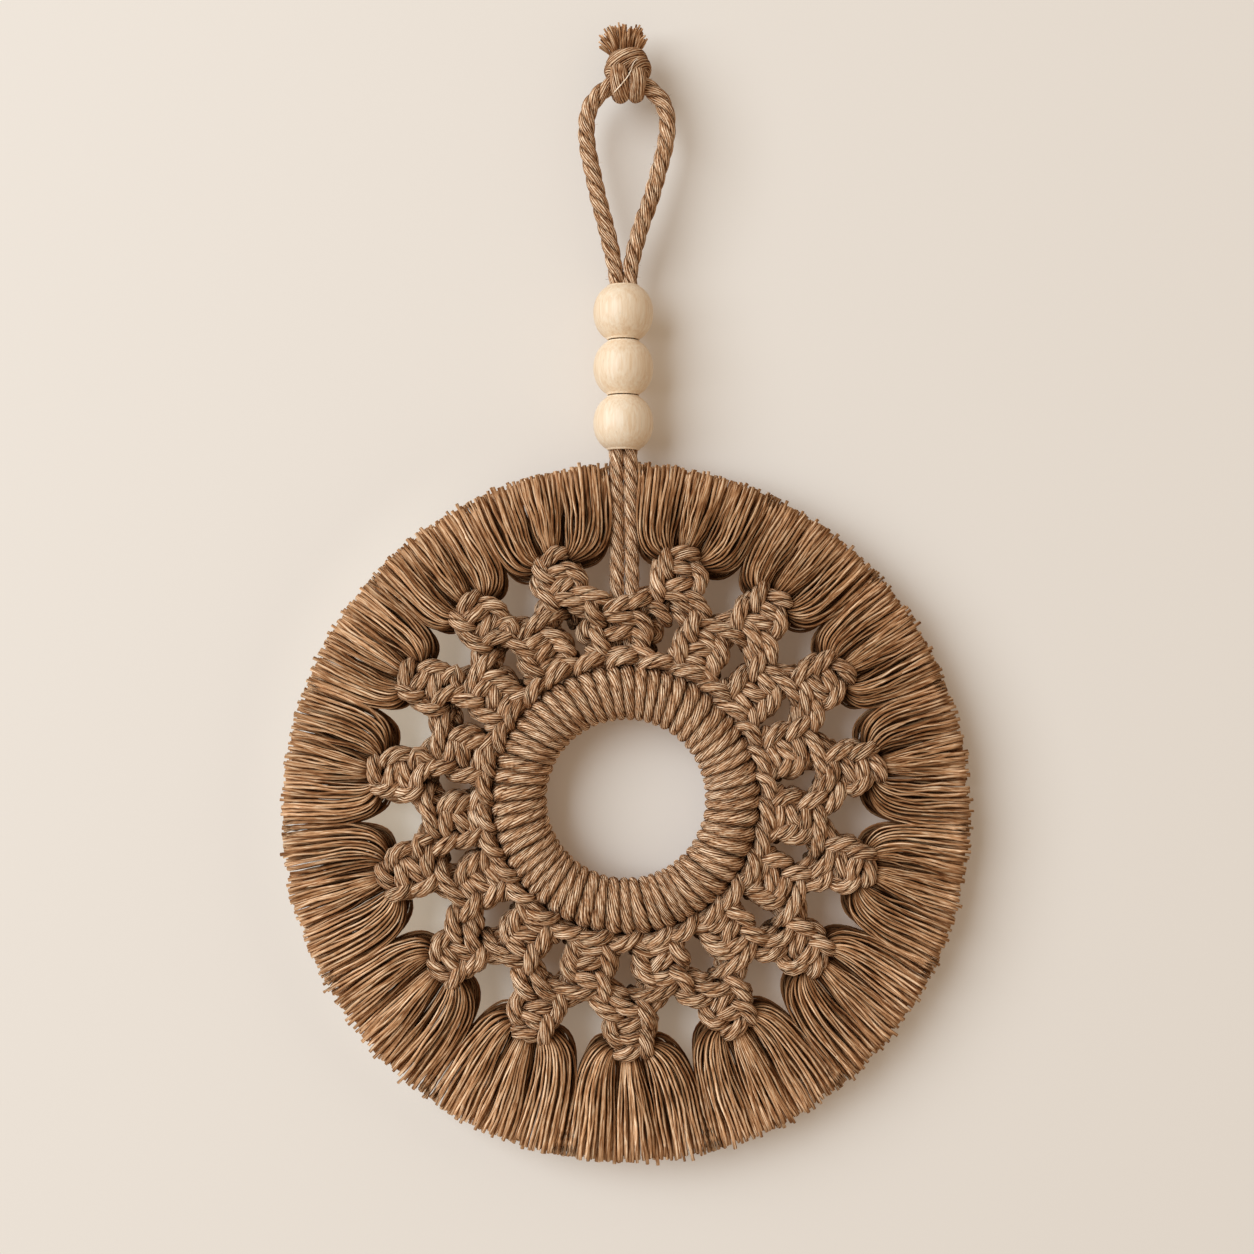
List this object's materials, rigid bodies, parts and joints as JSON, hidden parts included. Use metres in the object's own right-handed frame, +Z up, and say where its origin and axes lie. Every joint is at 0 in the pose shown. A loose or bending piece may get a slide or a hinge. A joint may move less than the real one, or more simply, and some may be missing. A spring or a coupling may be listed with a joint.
{
  "type": "macrame wall hanging",
  "caption": "Round macrame wall hanging: a rope-wrapped ring, a knotted rope net, a rim of combed tassels, and a hanging loop through wooden beads.",
  "frame": {"origin": "hang point, on the underside of the top knot where the loop rests on a nail", "axes": "+Z up, +X to the right seen from the front, +Y into the wall, so the front faces -Y"},
  "size_m": [0.2293, 0.0196, 0.3801],
  "materials": {
    "wrapping_rope": "3-ply rope, wrapped",
    "net_rope": "3-ply rope, knotted",
    "tassel_yarn": "combed yarn ends, trimmed",
    "hanger_rope": "3-ply rope, under load",
    "pale_wood": "turned and sanded, unvarnished"
  },
  "bodies": {
    "root": {"wrapped_ring": "wrapping_rope", "knotted_net": "net_rope", "tassel_01": "tassel_yarn", "tassel_02": "tassel_yarn", "tassel_03": "tassel_yarn", "tassel_04": "tassel_yarn", "tassel_05": "tassel_yarn", "tassel_06": "tassel_yarn", "tassel_07": "tassel_yarn", "tassel_08": "tassel_yarn", "tassel_09": "tassel_yarn", "tassel_10": "tassel_yarn", "tassel_11": "tassel_yarn", "tassel_12": "tassel_yarn", "tassel_13": "tassel_yarn", "tassel_14": "tassel_yarn", "tassel_15": "tassel_yarn", "bead_top": "pale_wood", "bead_middle": "pale_wood", "bead_bottom": "pale_wood", "hanger_leg_left": "hanger_rope", "hanger_leg_right": "hanger_rope", "top_knot": "hanger_rope"}
  },
  "joints": []
}
